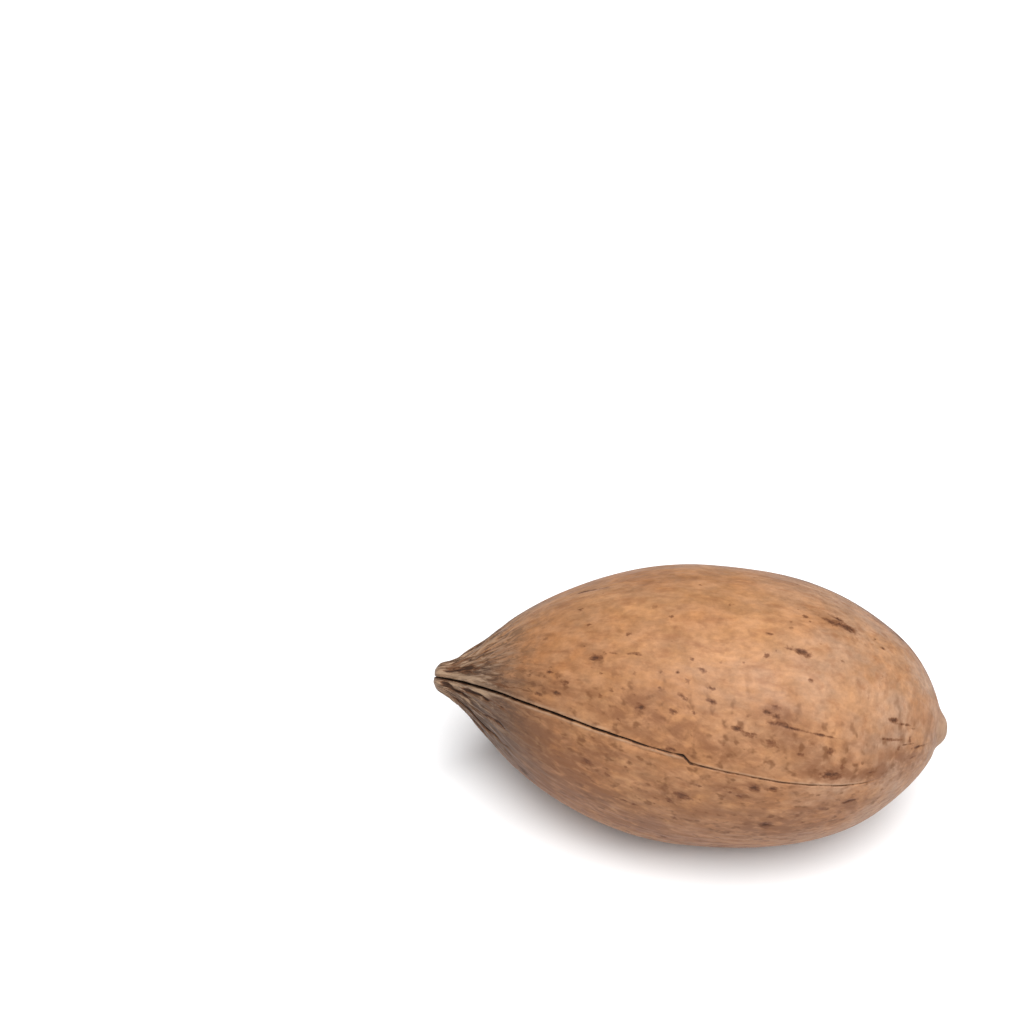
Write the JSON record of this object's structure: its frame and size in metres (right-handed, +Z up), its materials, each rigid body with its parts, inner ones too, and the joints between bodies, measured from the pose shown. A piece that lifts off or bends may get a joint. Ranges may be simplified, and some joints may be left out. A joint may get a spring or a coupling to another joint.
{
  "type": "pecan nut",
  "caption": "Whole pecan nut in its shell, lying on its side, with a pointed beak, a twisting seam and a small nub at the base.",
  "frame": {"origin": "under the middle of the nut's box, on the surface that it rests on", "axes": "+X along the nut from the beak to the base, +Z up, and -Y the side where the split seam shows"},
  "size_m": [0.0448, 0.0246, 0.0241],
  "materials": {
    "pecan_shell": "satin tan shell with brown specks"
  },
  "bodies": {
    "root": {"pecan_nut": "pecan_shell"}
  },
  "joints": []
}
